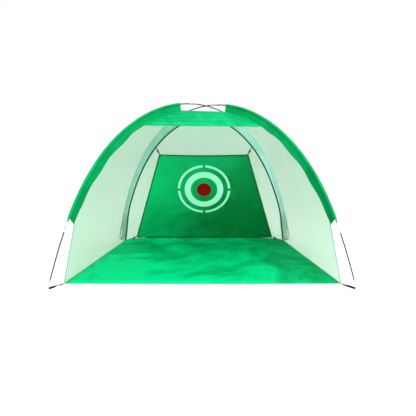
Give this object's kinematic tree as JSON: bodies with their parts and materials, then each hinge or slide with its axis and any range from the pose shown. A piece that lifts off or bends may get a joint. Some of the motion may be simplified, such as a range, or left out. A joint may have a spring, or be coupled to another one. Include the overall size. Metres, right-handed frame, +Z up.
{
  "type": "golf chipping net",
  "caption": "Low dome net for chipping practice: crossed sprung poles in cloth sleeves, net walls, a floor mat and a hanging target cloth.",
  "frame": {"origin": "on the ground under the middle of the net's bounding box", "axes": "+X along the width, +Y from the open mouth to the back wall, +Z up"},
  "size_m": [2.0048, 1.4148, 1.2825],
  "materials": {
    "fibreglass": "satin pultruded rod",
    "steel": "bright nickel-plated",
    "green_cloth": "plain-weave polyester, slightly shiny",
    "pale_cloth": "thin polyester that lets light through",
    "net": "fine knotless netting, see-through",
    "webbing": "woven polypropylene",
    "black_plastic": "moulded nylon",
    "elastic": "braided elastic cord"
  },
  "bodies": {
    "frame": {"back_net": "net", "floor_mat": "green_cloth", "foot_ring_front_left": "steel", "foot_ring_front_right": "steel", "foot_ring_rear_left": "steel", "foot_ring_rear_right": "steel", "foot_strap_front_left": "webbing", "foot_strap_front_right": "webbing", "foot_strap_rear_left": "webbing", "foot_strap_rear_right": "webbing", "front_sleeve_left": "green_cloth", "front_sleeve_right": "green_cloth", "front_valance": "green_cloth", "pole_a_ferrule_1": "steel", "pole_a_ferrule_2": "steel", "pole_a_ferrule_3": "steel", "pole_a_ferrule_4": "steel", "pole_a_ferrule_5": "steel", "pole_a_ferrule_6": "steel", "pole_a_ferrule_7": "steel", "pole_a_section_1": "fibreglass", "pole_a_section_2": "fibreglass", "pole_a_section_3": "fibreglass", "pole_a_section_4": "fibreglass", "pole_a_section_5": "fibreglass", "pole_a_section_6": "fibreglass", "pole_a_section_7": "fibreglass", "pole_a_section_8": "fibreglass", "pole_b_ferrule_1": "steel", "pole_b_ferrule_2": "steel", "pole_b_ferrule_3": "steel", "pole_b_ferrule_4": "steel", "pole_b_ferrule_5": "steel", "pole_b_ferrule_6": "steel", "pole_b_ferrule_7": "steel", "pole_b_section_1": "fibreglass", "pole_b_section_2": "fibreglass", "pole_b_section_3": "fibreglass", "pole_b_section_4": "fibreglass", "pole_b_section_5": "fibreglass", "pole_b_section_6": "fibreglass", "pole_b_section_7": "fibreglass", "pole_b_section_8": "fibreglass", "pole_tip_front_left": "steel", "pole_tip_front_right": "steel", "pole_tip_rear_left": "steel", "pole_tip_rear_right": "steel", "rear_sleeve_left": "pale_cloth", "rear_sleeve_right": "pale_cloth", "side_net_left": "net", "side_net_right": "net", "tie_cord_bottom_left": "elastic", "tie_cord_bottom_right": "elastic", "tie_cord_top_left": "elastic", "tie_cord_top_right": "elastic"},
    "target": {"target_cloth": "green_cloth"},
    "hook_top_left": {"target_hook_top_left": "black_plastic"},
    "hook_top_right": {"target_hook_top_right": "black_plastic"},
    "hook_bottom_left": {"target_hook_bottom_left": "black_plastic"},
    "hook_bottom_right": {"target_hook_bottom_right": "black_plastic"}
  },
  "joints": [
    {"name": "target_swing", "type": "hinge", "parent": "frame", "child": "target", "pos_m": [0, 0.3296, 0.886], "axis": [1, 0, 0], "range_deg": [-4, 1.5], "stiffness_Nm_per_rad": 20, "springref_deg": 0.92},
    {"name": "hook_top_left_turn", "type": "hinge", "parent": "frame", "child": "hook_top_left", "pos_m": [-0.41519, 0.33704, 0.90832], "axis": [0.3975, -0.29, -0.8706], "range_deg": [-40, 40]},
    {"name": "hook_top_right_turn", "type": "hinge", "parent": "frame", "child": "hook_top_right", "pos_m": [0.41445, 0.3365, 0.90881], "axis": [-0.3688, -0.2691, -0.8897], "range_deg": [-40, 40]},
    {"name": "hook_bottom_left_turn", "type": "hinge", "parent": "target", "child": "hook_bottom_left", "pos_m": [-0.72321, 0.63166, 0.03753], "axis": [0.9143, -0.2783, 0.2942], "range_deg": [-40, 40]},
    {"name": "hook_bottom_right_turn", "type": "hinge", "parent": "target", "child": "hook_bottom_right", "pos_m": [0.72321, 0.63166, 0.03753], "axis": [-0.9143, -0.2783, 0.2942], "range_deg": [-40, 40]}
  ]
}
